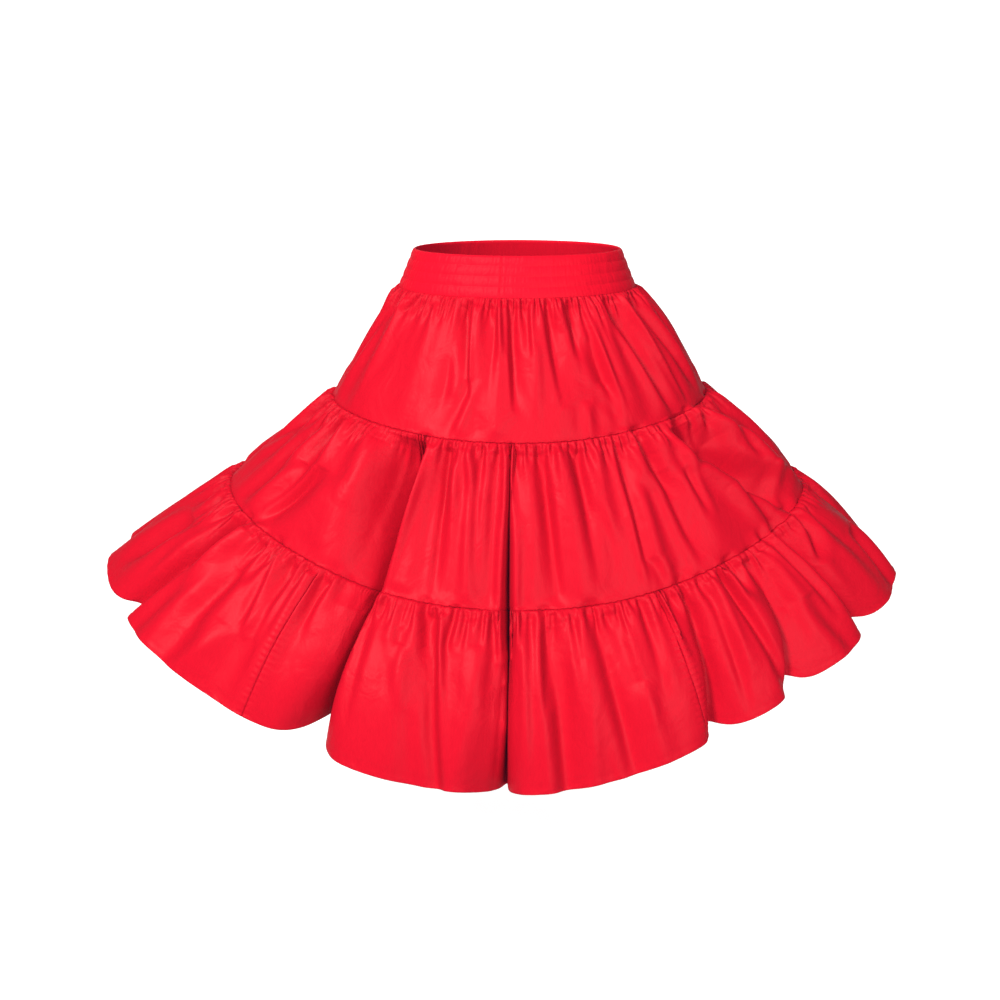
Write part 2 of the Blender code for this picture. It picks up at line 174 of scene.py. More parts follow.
# Creases: the smaller marks on the cloth, placed one by one. Each runs from a level and
# azimuth to another. Its depth and width are in mm, and it is deepest near halfway (a ridge is
# negative). Its skew is above 0 where its right side is the gentle one, below 0 where its left
# side is.
Crease = namedtuple("Crease", "top azimuth foot end depth width skew")
FRONT_CREASES = (
    # tier 1
    (0.00, -28, 0.72, -21, 6.0, 6, -0.5),
    (0.58, -21, 1.02, -27, 3.6, 8, -0.2),
    (0.05, -20, 1.05, -12, -4.5, 11, 0.0),
    (0.00, -12, 0.45, -8, -2.2, 4, 0.0),
    (0.00, -9, 0.40, -6, 2.2, 3, 0.0),
    (0.00, -5, 0.80, -1, 5.2, 6, 0.4),
    (0.02, 4, 0.42, 5, 3.6, 4, -0.3),
    (0.02, 10, 0.85, 7, -3.6, 9, 0.0),
    (0.00, 15, 0.78, 18, 4.2, 7, 0.3),
    (0.00, 21, 0.25, 22, -3.0, 6, 0.0),
    (0.00, 28, 0.45, 27, 4.0, 7, 0.3),
    (0.05, 36, 0.85, 41, -3.2, 4, 0.0),
    (0.30, 33, 0.90, 38, 3.0, 7, -0.3),
    (0.00, 50, 1.00, 59, 9.0, 9, 0.3),
    (0.02, 58, 0.95, 66, -3.0, 4, 0.0),
    (0.00, 68, 0.90, 74, 6.0, 8, 0.0),
    (0.00, 84, 0.60, 90, 4.0, 8, 0.0),
    (0.00, -58, 0.18, -64, 3.5, 5, 0.0),
    (0.00, -46, 0.12, -45, 2.2, 4, 0.0),
    (0.00, -76, 0.95, -83, 3.6, 7, 0.3),
    (0.62, 34, 0.86, 38, -2.4, 7, 0.0),
    (0.74, 27, 1.04, 26, -2.2, 7, 0.0),
    # tier 2
    (0.98, -33, 2.05, -35, 4.0, 7, -0.3),
    (1.03, -34.5, 2.16, -35, 27.0, 25, -0.7),
    (1.10, -47, 1.98, -46, -3.0, 22, 0.0),
    (1.02, -18, 1.34, -14, -3.0, 7, 0.0),
    (1.05, -24, 1.98, -21, 3.4, 6, 0.3),
    (1.14, -22, 1.50, -19, -2.6, 7, 0.0),
    (1.02, -14, 1.96, -11, 3.4, 6, 0.0),
    (0.99, -3, 2.04, -3, 3.6, 4, 0.0),
    (2.24, -3, 1.40, -3, 11.0, 6, 0.0),
    (1.00, 8, 2.00, 10, 4.4, 7, -0.2),
    (1.02, 17, 1.10, 17, 2.0, 5, 0.0),
    (1.02, 20, 1.88, 20, 2.4, 6, 0.0),
    (1.04, 23, 1.66, 26, -3.4, 8, 0.0),
    (0.98, 34, 2.02, 32, 5.6, 7, 0.3),
    (0.97, 42, 1.50, 45, 7.5, 8, 0.2),
    (1.30, 44, 1.98, 45, 4.8, 12, 0.4),
    (1.34, 51, 1.70, 51, 2.6, 5, 0.0),
    (1.10, 38, 1.42, 40, -3.6, 7, 0.0),
    (1.80, 34, 2.05, 35, 3.2, 7, 0.0),
    (0.98, 59, 1.40, 56, 11.0, 11, 0.2),
    (1.06, 58, 2.04, 74, 26.0, 24, 0.3),
    (1.26, 66, 1.98, 82, -6.5, 12, 0.2),
    (1.60, 63, 2.02, 66, 8.0, 10, 0.0),
    (0.96, 64, 1.26, 63, 4.2, 6, 0.0),
    (1.14, 69, 1.72, 71, -4.2, 11, 0.0),
    (0.99, 73, 1.80, 84, 13.0, 15, 0.2),
    (1.66, 76, 1.96, 71, -4.0, 10, 0.0),
    (1.46, -66, 1.96, -71, -4.4, 14, 0.0),
    (1.42, -59, 1.98, -65, 7.0, 13, 0.5),
    (1.05, -58, 1.62, -52, 2.6, 14, 0.0),
    (1.10, -48, 1.60, -46, -2.4, 12, 0.0),
    (1.02, -70, 1.60, -75, 3.4, 9, 0.0),
    # tier 3
    (1.96, -64, 3.05, -70, -8.0, 9, 0.3),
    (1.96, -68, 2.60, -70, 5.0, 7, 0.0),
    (2.06, -72, 2.92, -73, -4.6, 9, 0.0),
    (2.30, -79, 2.90, -81, 8.5, 17, 0.0),
    (2.28, -60, 2.76, -61, 4.4, 13, 0.0),
    (1.96, -58, 2.35, -57, 3.6, 6, 0.0),
    (2.00, -55, 2.62, -51, -4.6, 8, 0.3),
    (2.02, -50, 2.60, -49, -3.0, 5, 0.0),
    (2.58, -56, 3.10, -53, -3.6, 22, 0.0),
    (2.00, -45, 2.40, -44, 3.6, 5, 0.0),
    (1.97, -41, 2.24, -40, 3.0, 5, 0.0),
    (2.05, -33, 2.80, -31, 2.4, 6, 0.0),
    (2.25, -25, 2.62, -22, -3.4, 10, 0.0),
    (2.16, -26, 2.38, -25, 1.8, 6, 0.0),
    (1.96, -22, 2.30, -20, 4.0, 6, 0.0),
    (2.02, -20, 3.50, -11, 6.5, 8, -0.2),
    (2.04, -18, 2.55, -15, -3.0, 4, 0.0),
    (1.98, -15, 2.28, -16, 4.0, 5, 0.0),
    (2.02, -12, 2.24, -13, 3.4, 5, 0.0),
    (2.20, -9, 2.80, -7, -4.0, 13, 0.0),
    (2.30, -4, 3.10, -5, 5.0, 12, -0.6),
    (1.97, 6, 2.60, 5, 6.0, 7, 0.2),
    (2.10, 7, 3.60, 9, 9.0, 13, 0.2),
    (1.98, 1, 2.90, 1, -3.6, 6, 0.0),
    (2.30, 13, 3.10, 14, -3.6, 12, 0.0),
    (2.02, 12, 2.62, 11, -3.0, 8, 0.0),
    (1.96, 17, 3.20, 20, 8.5, 10, 0.0),
    (2.00, 23, 2.80, 24, -4.0, 8, 0.0),
    (2.50, 23, 3.15, 25, -4.6, 13, 0.0),
    (2.02, 28, 2.66, 27, 3.0, 6, 0.0),
    (1.95, 39, 2.90, 36, 6.0, 8, -0.2),
    (1.98, 43, 2.96, 40, 4.2, 5, 0.0),
    (2.16, 42, 2.78, 43, -4.2, 9, 0.0),
    (1.96, 50, 2.30, 49, 6.0, 7, 0.0),
    (1.98, 56, 2.80, 54, 4.2, 7, 0.0),
    (1.92, 60, 2.80, 61, 5.0, 6, 0.2),
    (1.92, 64, 2.95, 64, 12.0, 10, 0.3),
    (1.94, 72, 2.45, 67, 9.0, 9, 0.2),
    (2.45, 79, 3.05, 77, 9.0, 13, 0.0),
    (2.50, 58, 3.10, 60, 6.0, 14, 0.0),
)
BACK_CREASES = (
    (-0.04, 96, 0.75, 99, 4.2, 7, 0.2),
    (0.02, 107, 0.70, 109, -3.0, 8, 0.0),
    (-0.02, 118, 0.60, 115, 3.6, 6, 0.0),
    (-0.03, 131, 0.90, 126, 4.4, 7, -0.2),
    (-0.04, 144, 0.85, 147, 4.0, 7, 0.0),
    (0.04, 157, 0.80, 158, -3.2, 9, 0.0),
    (-0.03, 172, 0.65, 176, 4.4, 6, 0.0),
    (-0.02, -173, 0.95, -168, 4.0, 7, 0.3),
    (-0.04, -152, 0.90, -155, 4.2, 7, 0.0),
    (0.02, -140, 0.75, -138, -3.0, 8, 0.0),
    (-0.03, -126, 0.60, -122, 4.0, 7, 0.0),
    (-0.02, -111, 0.95, -114, 4.4, 7, 0.2),
    (-0.03, -98, 0.80, -100, 4.0, 7, 0.0),
    (0.96, 82, 1.80, 86, 5.2, 10, 0.0),
    (1.02, 93, 1.60, 94, -3.6, 9, 0.0),
    (0.98, 103, 1.66, 100, 4.4, 8, 0.2),
    (1.20, 112, 1.98, 115, 5.0, 11, 0.0),
    (0.97, 124, 1.60, 122, 4.0, 8, 0.0),
    (0.97, 137, 2.04, 137, 6.4, 7, -0.3),
    (0.97, 152, 1.62, 150, 4.6, 8, 0.0),
    (1.04, 160, 1.80, 163, -3.8, 10, 0.0),
    (0.98, 171, 1.90, 170, 4.2, 8, 0.0),
    (0.98, 181, 2.04, 181, 7.0, 5, 0.0),
    (0.97, -166, 1.66, -164, 4.6, 8, 0.0),
    (1.02, -157, 1.80, -155, -3.4, 9, 0.0),
    (0.98, -145, 1.92, -147, 4.4, 9, 0.3),
    (0.97, -131, 2.04, -131, 6.6, 8, 0.2),
    (1.02, -118, 1.50, -119, 4.0, 8, 0.0),
    (1.10, -108, 1.90, -107, -3.8, 10, 0.0),
    (0.97, -98, 1.76, -94, 5.0, 10, 0.0),
    (0.98, -82, 1.66, -86, 4.2, 9, 0.0),
    (1.96, 97, 2.90, 99, 5.6, 10, 0.0),
    (2.00, 105, 2.60, 104, -4.0, 9, 0.0),
    (1.96, 117, 2.60, 118, 4.4, 8, 0.0),
    (2.02, 126, 2.95, 127, 5.0, 10, 0.2),
    (1.97, 148, 2.80, 149, 5.4, 9, 0.0),
    (2.02, 155, 2.60, 154, -4.0, 9, 0.0),
    (1.96, 170, 2.95, 172, 5.6, 9, -0.2),
    (2.00, -176, 2.70, -174, -4.0, 10, 0.0),
    (1.97, -168, 2.80, -166, 5.0, 9, 0.0),
    (1.97, -145, 2.90, -144, 5.4, 10, 0.0),
    (2.02, -137, 2.60, -138, -4.2, 9, 0.0),
    (1.96, -119, 2.90, -121, 5.4, 10, 0.2),
    (2.02, -114, 2.60, -113, 4.0, 8, 0.0),
    (1.97, -98, 2.90, -100, 5.4, 10, 0.0),
    (2.02, -88, 2.70, -87, -4.4, 10, 0.0),
)
CREASES = tuple(Crease(*row) for row in FRONT_CREASES + BACK_CREASES)

# The panels of the lowest tier between their joins, as azimuths.
Panel = namedtuple("Panel", "name start end")
PANELS = (
    Panel("tier_3_front", -46, 32),
    Panel("tier_3_right", 32, 121),
    Panel("tier_3_back", 121, 232),
    Panel("tier_3_left", 232, 314),
)

# The cut of each piece, in metres round and down.
BAND_CUT = (0.98, 0.060)
TIER_1_CUT = (1.46, 0.185)
TIER_2_CUT = (2.36, 0.205)
LOWEST_CUT = (3.76, 0.215)

CUTS = (TIER_1_CUT, TIER_2_CUT, LOWEST_CUT)

# Levels, and the creases' share of their depth there.
CREASE_SHARES = ((0.9, 1.1, 1.85, 2.05), (1.1, 1.25, 1.25, 1.0))

# How a crease runs: powers that move its deepest place and blunt its ends, the level at which
# it has grown under the band, and the height and place of the shoulders on both its sides.
CREASE_MIDDLE = 0.7
CREASE_BLUNT = 0.8
CREASE_CLEAR = 0.04
SHOULDER = 0.35
SHOULDER_AT = 2.0

# How folds begin and end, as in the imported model. Levels, apart from the width's share at the
# top and the powers that depth and rise grow by.
TOP_WIDTH = 0.55
APPEAR = 0.15
DIE_AWAY = 0.25
DEPTH_GROWTH = 1.3
RISE_GROWTH = 1.5
OPENS_FROM = 2.64
OPENS_BY = 0.34

# How quickly a fold's sides pinch as it deepens, the power that its lap grows by, and how far
# past its foot a level still counts as its own.
PINCH_GAIN = 1.4
LAP_GROWTH = 1.2
TOUCH = 1e-6

# Start waves of the gathers: how many times broader than the mean spacing, size in mm, and
# where they begin and fade down a tier.
WAVES = (
    (1.0, 1.5, 0.0, 0.11),
    (2.3, 2.0, 0.02, 0.32),
    (3.7, 3.0, 0.04, 0.8),
    (6.1, 4.0, 0.05, 1.5),
)

# Chance in the start waves: how far each strays, as a share of their spacing, the least and
# most of its height and length, and how far they drift sideways. Then how soon they grow, and
# where they die away above the next seam, as shares of a tier.
WAVE_STRAY = 0.33
WAVE_HEIGHTS = (0.3, 1.4)
WAVE_LENGTHS = (0.5, 1.6)
WAVE_DRIFT = 0.5
WAVE_GROWS = 0.03
WAVE_DIES = 0.08

# Where the cloth hangs calmer between its gathers: the tier, counted from 0, azimuth and half
# width in degrees, and the share of the gathers' size that stays.
Calm = namedtuple("Calm", "tier azimuth half stays")
CALMS = (
    Calm(0, 0, 400, 0.65),
    Calm(0, -52, 20, 0.4),
    Calm(1, -50, 9, 0.35),
    Calm(1, 52, 8, 0.5),
    Calm(2, -27, 6, 0.45),
    Calm(2, 30, 6, 0.6),
    Calm(2, 74, 8, 0.5),
    Calm(1, -35, 3, 0.4),
    Calm(1, -3, 1.5, 0.4),
    Calm(2, -38, 5, 0.15),
    Calm(2, -2.5, 2, 0.3),
)

# How strongly cloth pulls to its own length across, down and aslant in a step of settling.
PULL_ACROSS = 0.9
PULL_DOWN = 0.8
PULL_ASLANT = 0.12

# How strongly it stays even across, under a seam and lower down, where the one passes into the
# other as shares of a tier, how often in a step, and how strongly it stays even down.
BEND_TOP = 0.03
BEND_LOW = 0.85
BEND_FROM = 0.05
BEND_BY = 0.24
BEND_TIMES = 2
BEND_DOWN = 0.3

# The share of its sideways way that cloth goes back in a step, and how far in mm it may lie
# behind and in front of its form. These limits grow under a seam from their least share.
STAY = 0.01
GATHER_IN = 11
GATHER_OUT = 7
LIMIT_LEAST = 0.12
LIMIT_GROWS = 0.045

# The wall left of the deep left fold: its azimuth and half width in degrees, how often it is
# evened out, and how strongly.
SOFT_WALL = -38.2
SOFT_HALF = 3.2
SOFT_STEPS = 24
SOFT_WEIGHT = 0.9

# How far each tier puffs out under its seam, in mm, how far down, and how soon.
PUFF = (0.8, 2.0, 2.4)
PUFF_LENGTH = 16 * MM
PUFF_START = 1.4 * MM

# Marks along a line: height (a groove is negative), distance from the line and half width.
Mark = namedtuple("Mark", "size at width")
BAND_GROOVE = Mark(-0.7 * MM, 0, 0.8 * MM)
BAND_RIDGE = Mark(0.5 * MM, 3.2 * MM, 1.6 * MM)
BAND_EDGE = Mark(-1.1 * MM, 0, 1.2 * MM)
SEAM_DIPS = (Mark(-0.2 * MM, 0, 1.3 * MM), Mark(-1.2 * MM, 0, 1.3 * MM), Mark(-1.2 * MM, 0, 1.3 * MM))
FOOT_DIP = Mark(-0.4 * MM, 0, 1.0 * MM)
JOIN_GROOVE = Mark(-0.9 * MM, 0, 1.4 * MM)
JOIN_PUCKER = Mark(0.75 * MM, 4 * MM, 4 * MM)
HEM_GROOVE = Mark(-0.35 * MM, 9 * MM, 1.2 * MM)
HEM_RIPPLE = Mark(0.25 * MM, 0, 9 * MM)

# Puckers beside the panels' joins: spacing, share of their height, and turn from side to side.
# They show less at the top of the tier, and fully from JOIN_FROM + JOIN_BY down.
PUCKERS = ((8.5 * MM, 1.0, 0.8), (5.3 * MM, 0.6, 0.0))
JOIN_LEAST = 0.25
JOIN_FROM = 0.2
JOIN_BY = 0.25

# The hem's ripples: how many go round, and how quickly they lean down the cloth.
HEM_RIPPLES = 190
HEM_LEAN = 4 * MM

# The small knobs under the seams: spacing in metres of cloth, length down and depth, how far
# each strays, the least and most of its height and length, and how soon they grow.
TOOTH_PITCH = (9 * MM, 10.5 * MM, 11.5 * MM)
TOOTH_LENGTH = 8 * MM
TOOTH_DEPTH = 0.8 * MM
TOOTH_STRAY = 0.3
TOOTH_HEIGHTS = (0.2, 1.5)
TOOTH_LENGTHS = (0.5, 1.5)
TOOTH_GROWS = 0.9 * MM

# How a seam wanders off its level: waves round it with their sizes, more of them at each seam
# down, their size in mm, and how far the cloth beside it goes along, as a share of a tier.
SEAM_WAVES = ((43, 0.25), (89, 0.28), (137, 0.30), (191, 0.26))
MORE_WAVES = 40
SEAM_WANDER = 0.8
WANDER_REACH = 0.03

# The seam allowance behind each tier's top edge: how far it goes in, and then up.
ALLOWANCE_IN = 1.6 * MM
ALLOWANCE_UP = 4 * MM

# Rows of a tier's mesh as shares of its length: close under its seam, the body between its
# first and last, crowded towards the seam by a power, and close at its foot.
TOP_ROWS = (0, 0.004, 0.008, 0.013)
BODY_ROWS = (0.019, 0.972)
CROWDING = 1.25
FOOT_ROWS = (0.979, 0.985, 0.990, 0.995, 1.0)

# How many angles the way round a tier's foot is measured at.
FINE_ANGLES = 7201

# What the seed is raised by, so that each kind of chance has its own.
BAND_SEED = 50
WANDER_SEED = 200
TOOTH_SEED = 400

# The rows of a tier's mesh that are sewn, from its foot.
SEAM_STITCH_ROW = -4
HEM_STITCH_ROW = -9

# The sewing thread: from one stitch to the next, a stitch's length and its radius. Along a
# stitch its ends dip into the cloth and its middle lies on it.
STITCH_PITCH = 2.9 * MM
STITCH_LENGTH = 2.2 * MM
THREAD = 0.2 * MM
STITCH_SIDES = 4
STITCH_AT = np.array([0, 0.25, 0.75, 1])
STITCH_LIFT = np.array([-0.6, 0.9, 0.9, -0.6])
STITCH_WIDTH = np.array([0.6, 1, 1, 0.6])

# The finish of the cloth, and beside it the band's colour, painted brighter than the cloth's to stand
# in for more light on it, and its gloss.
CLOTH_SPECULAR = 0.05
SHEEN = 0.02
SHEEN_ROUGHNESS = 0.4
SHEEN_TINT = (1.0, 0.25, 0.25, 1.0)
WEAVE_PITCH = 0.42 * MM
WEAVE_DEPTH = 0.06 * MM
FLECK_STRETCH = (1.0, 0.12, 1.0)
BAND_PAINTED_LIGHT = 1.2
BAND_GLOSS = 0.6

# A faint bluish glow painted into all the cloth, which lifts its darkest folds.
PAINTED_GLOW = 0.0065
PAINTED_GLOW_COLOUR = (0.0, 0.4, 1.0, 1.0)

# The backdrop: a floor that curves up into a wall, from front to back, in metres.
FLOOR_FRONT = -3.2
FLOOR_BACK = 2.6
CURVE = 1.4
CURVE_STEPS = 24
WALL_HEIGHT = 4.5
BACKDROP_HALF = 5
BACKDROP_GREY = (0.36, 0.36, 0.36, 1)
BACKDROP_ROUGHNESS = 0.9
WHITE = (1, 1, 1, 1)

# The lights: where each stands, what it points at, its side, and the setting that its power
# comes from, with its share of that.
Light = namedtuple("Light", "name at towards side setting share")
LIGHTS = (
    Light("key", (-1.3, -1.75, 1.6), (0, 0, -0.3), 0.6, "key", 1),
    Light("fill", (1.1, -2.35, 0.4), (0, 0, -0.3), 1.4, "fill", 1),
    Light("wall", (0.0, 1.2, 1.6), (0, 4.0, -0.2), 2.4, "key", 1.2),
)


class SkirtCloth(bpy.types.PropertyGroup):
    """Sizes of the fine form of the cloth."""

    thickness: FloatProperty(
        name="Cloth Thickness", description="Thickness that shows at edges",
        default=0.5 * MM, min=0.1 * MM, unit="LENGTH",
    )
    gather_depth: FloatProperty(
        name="Gather Depth", description="Depth of the gathers as a share of their usual depth",
        default=1.2, min=0.0, max=2.0, subtype="FACTOR",
    )
    steps: IntProperty(
        name="Settling Steps", description="How many steps the gathered cloth settles for",
        default=160, min=1,
    )
    crease_depth: FloatProperty(
        name="Crease Depth",
        description="Depth of the placed creases as a share of their usual depth",
        default=1.35, min=0.0, max=2.0, subtype="FACTOR",
    )
    ripple: FloatProperty(
        name="Band Ripple", description="Depth of the small ripples in the elastic band",
        default=0.2 * MM, min=0.0, unit="LENGTH",
    )
    seed: IntProperty(name="Seed", description="Changes how the small gathers fall", default=7, min=0)


class SkirtLooks(bpy.types.PropertyGroup):
    """Colours and finish of the cloth."""

    red: FloatVectorProperty(
        name="Cloth Colour", description="Colour of the dyed cloth", subtype="COLOR", size=4,
        default=(0.50, 0.0029, 0.0126, 1.0), min=0.0, max=1.0,
    )
    shade: FloatVectorProperty(
        name="Shaded Colour", description="Colour of the cloth's darker flecks", subtype="COLOR",
        size=4, default=(0.42, 0.0024, 0.0104, 1.0), min=0.0, max=1.0,
    )
    thread: FloatVectorProperty(
        name="Thread Colour", description="Colour of the sewing thread", subtype="COLOR", size=4,
        default=(0.34, 0.0024, 0.0105, 1.0), min=0.0, max=1.0,
    )
    roughness: FloatProperty(
        name="Roughness", description="Roughness of the cloth", default=0.42, min=0.0, max=1.0,
    )
    crumple: FloatProperty(
        name="Crumple", description="Depth of the soft dents all over the cloth",
        default=2.2 * MM, min=0.0, unit="LENGTH",
    )
    weave_pitch: FloatProperty(
        name="Weave Pitch", description="Distance between threads",
        default=WEAVE_PITCH, min=0.1 * MM, unit="LENGTH",
    )


class SkirtStage(bpy.types.PropertyGroup):
    """Floor and lights."""

    floor_drop: FloatProperty(
        name="Floor Drop", description="How far the floor lies below the waist", default=1.02,
        min=0.6, unit="LENGTH",
    )
    key: FloatProperty(
        name="Key Light", description="Power of the key light", default=120.0, min=0.0,
    )
    fill: FloatProperty(
        name="Fill Light", description="Power of the fill light", default=52.0, min=0.0,
    )
    sky: FloatProperty(
        name="Surround", description="Strength of the white surround", default=0.16, min=0.0,
    )
    backdrop: FloatProperty(
        name="Backdrop Glow", description="How much brighter the backdrop looks to the camera",
        default=0.86, min=0.0,
    )


def unit(vectors):
    """Directions of unit length."""
    return vectors / np.linalg.norm(vectors, axis=-1, keepdims=True)


def signed_turn(angle):
    """An angle in radians, from -pi to pi."""
    return (angle + pi) % (2 * pi) - pi


def stretch(angle, azimuth, half):
    """1 along a stretch of azimuths to both sides of its middle, and soon 0 outside it."""
    apart = signed_turn(angle - radians(azimuth)) / radians(half)
    return np.exp(-(apart**4))


def relief(mark, apart):
    """Height of a mark at each distance from its line."""
    return mark.size * np.exp(-(((apart - mark.at) / mark.width) ** 2))


def mean_beside(values):
    """The mean of each place's two neighbours round the skirt."""
    return (np.roll(values, 1, axis=1) + np.roll(values, -1, axis=1)) / 2


def ring_point(ring, angle):
    """A point of a ring, and the level direction square to it."""
    sine, cosine = np.sin(angle), np.cos(angle)
    wide = np.where(sine > 0, ring.right, ring.left) * MM
    deep = np.where(cosine > 0, ring.front, ring.back) * MM
    reach = 1 / np.hypot(sine / wide, cosine / deep)
    plain = np.where(cosine > 0, ring.z_front, ring.z_back) * MM
    side = np.where(sine > 0, ring.z_right, ring.z_left) * MM
    power = np.where(sine > 0, ring.power_right, ring.power_left)
    power = np.where(cosine > 0, power, ring.power_back)
    height = plain + (side - plain) * np.abs(sine) ** power
    point = np.stack([reach * sine, -reach * cosine, height], -1)
    level = np.stack([sine / wide**2, -cosine / deep**2, np.zeros_like(sine)], -1)
    return point, unit(level)


def fall(upper, lower, angle):
    """How far the cloth goes outward and down from one ring to the next, as a direction."""
    step = ring_point(lower, angle)[0] - ring_point(upper, angle)[0]
    out = np.hypot(step[..., 0], step[..., 1])
    return unit(np.stack([out, step[..., 2]], -1))


def slope_at_ring(number, angle):
    """The mean slope of the pieces that meet at a ring, so that both share its direction."""
    above = (WAIST,) + RINGS
    slopes = [fall(above[number], above[number + 1], angle)]
    if number < len(RINGS) - 1:
        slopes.append(fall(RINGS[number], RINGS[number + 1], angle))
    return unit(sum(slopes))


def outward_and_down(across, slope):
    """Directions out of the cloth and down along it, from its level direction and its slope."""
    upright = np.zeros_like(across)
    upright[..., 2] = 1
    outward = across * -slope[..., 1:] + upright * slope[..., :1]
    down = across * slope[..., :1] + upright * slope[..., 1:]
    return outward, down


def frame_at(number, share, angle):
    """The smooth form of a tier: points, the outward direction and the way down."""
    row = TIERS[number]
    part = share[..., None]
    top, top_level = ring_point(RINGS[number], angle)
    foot, foot_level = ring_point(RINGS[number + 1], angle)
    slope = unit(slope_at_ring(number, angle) * (1 - part) + slope_at_ring(number + 1, angle) * part)
    outward, down = outward_and_down(unit(top_level * (1 - part) + foot_level * part), slope)
    sine = np.sin(angle)[..., None]
    side = np.where(sine > 0, row.swell_right, row.swell_left)
    swell = (row.swell_front + (side - row.swell_front) * np.abs(sine) ** SWELL_POWER) * MM
    point = top + (foot - top) * part + outward * swell * np.sin(pi * part)
    return point, outward, down


def folds_at(level, angle, reach):
    """Depth of the folds at each place, how far they draw it up, and how far it laps sideways."""
    depth = np.zeros_like(level)
    rise = np.zeros_like(level)
    lap = np.zeros_like(level)
    for fold in FOLDS:
        share = np.clip((level - fold.top) / (fold.foot - fold.top), 0, 1)
        centre = np.radians(fold.azimuth + fold.turn * share)
        apart = signed_turn(angle - centre) * reach
        width = np.where(apart < 0, fold.left, fold.right) * MM * (TOP_WIDTH + (1 - TOP_WIDTH) * share)
        shape = 1 / (1 + (apart / width) ** 2)
        inside = (level > fold.top) & (level < fold.foot + TOUCH)
        fade = np.clip((level - fold.top) / APPEAR, 0, 1)
        if fold.foot < len(TIERS):
            fade = fade * np.clip((fold.foot - level) / DIE_AWAY, 0, 1)
        along = (fold.start + (fold.end - fold.start) * share**DEPTH_GROWTH) * MM
        depth += np.where(inside, along * shape * fade, 0)
        begin = max(fold.top, len(TIERS) - 1)
        lowest = np.clip((level - begin) / (len(TIERS) - begin), 0, 1)
        rise += np.where(inside, fold.rise * MM * lowest**RISE_GROWTH * shape**2, 0)
        if fold.pinch:
            close = np.minimum(PINCH_GAIN * along / (width + along), 1) * fold.pinch
            close = close * (1 - np.clip((level - OPENS_FROM) / OPENS_BY, 0, 1))
            lap -= np.where(inside, close * apart * shape * fade, 0)
        if fold.lap:
            near = np.exp(-((apart / (np.sign(fold.lap) * width) - 1.0) ** 2))
            lap -= np.where(inside, fold.lap * MM * lowest**LAP_GROWTH * near, 0)
    return depth, rise, lap


def creases_at(level, angle, reach):
    """Outward shift of the placed creases: soft troughs and ridges."""
    shift = np.zeros_like(level)
    for crease in CREASES:
        share = (level - crease.top) / (crease.foot - crease.top)
        inside = (share > 0) & (share < 1)
        if not inside.any():
            continue
        share = np.clip(share, 0, 1)
        centre = np.radians(crease.azimuth + (crease.end - crease.azimuth) * share)
        apart = signed_turn(angle - centre) * reach / (crease.width * MM)
        apart = apart / np.where(apart > 0, 1 + crease.skew, 1 - crease.skew)
        along = np.sin(pi * share**CREASE_MIDDLE) ** CREASE_BLUNT * np.clip(level / CREASE_CLEAR, 0, 1)
        trough = np.exp(-(apart**2)) - SHOULDER * np.exp(-((np.abs(apart) - SHOULDER_AT) ** 2))
        shift -= np.where(inside, crease.depth * MM * along * trough, 0)
    return shift


def scattered(chance, count, stray, columns):
    """The phase of waves that stand unevenly round a tier, and what gives each its own value."""
    at = np.arange(columns) / columns
    spots = (np.arange(count) + chance.uniform(-stray, stray, count)) / count
    spots = np.concatenate([spots - 1, spots, spots + 1])
    phase = np.interp(at, spots, np.arange(-count, 2 * count) * 2 * pi)

    def each(least, most):
        return np.interp(at, spots, np.tile(chance.uniform(least, most, count), 3))

    return phase, each


def start_waves(number, share, seed):
    """Small waves that the gathers grow from: close together under the seam, broader below."""
    chance = np.random.default_rng(seed + number)
    waves = np.zeros_like(share)
    for widen, size, begin, end in WAVES:
        count = max(3, int(CUTS[number][0] / (TIERS[number].pitch * MM * widen)))
        phase, each = scattered(chance, count, WAVE_STRAY, share.shape[1])
        height = each(*WAVE_HEIGHTS)
        length = each(*WAVE_LENGTHS) * end
        drift = chance.normal(0, WAVE_DRIFT) * share * 2
        fade = np.clip((share - begin) / WAVE_GROWS, 0, 1) * np.exp(-((share / length[None]) ** 2))
        waves += size * MM * height[None] * fade * np.cos(phase[None] + drift)
    if number < len(TIERS) - 1:
        waves = waves * np.clip((1 - share) / WAVE_DIES, 0, 1)
    return waves


def calm(number, angle):
    """Share of the gathers' size that stays at each place."""
    stays = np.ones_like(angle)
    for zone in CALMS:
        if zone.tier == number:
            stays *= 1 - (1 - zone.stays) * stretch(angle, zone.azimuth, zone.half)
    return stays


def pair_pull(first, second, rest, strength):
    """How far each end of a stretch of cloth moves so that it comes to its own length."""
    apart = second - first
    length = np.sqrt(np.einsum("...i,...i->...", apart, apart)) + 1e-9
    return apart * (strength * 0.5 * (length - rest) / length)[..., None]


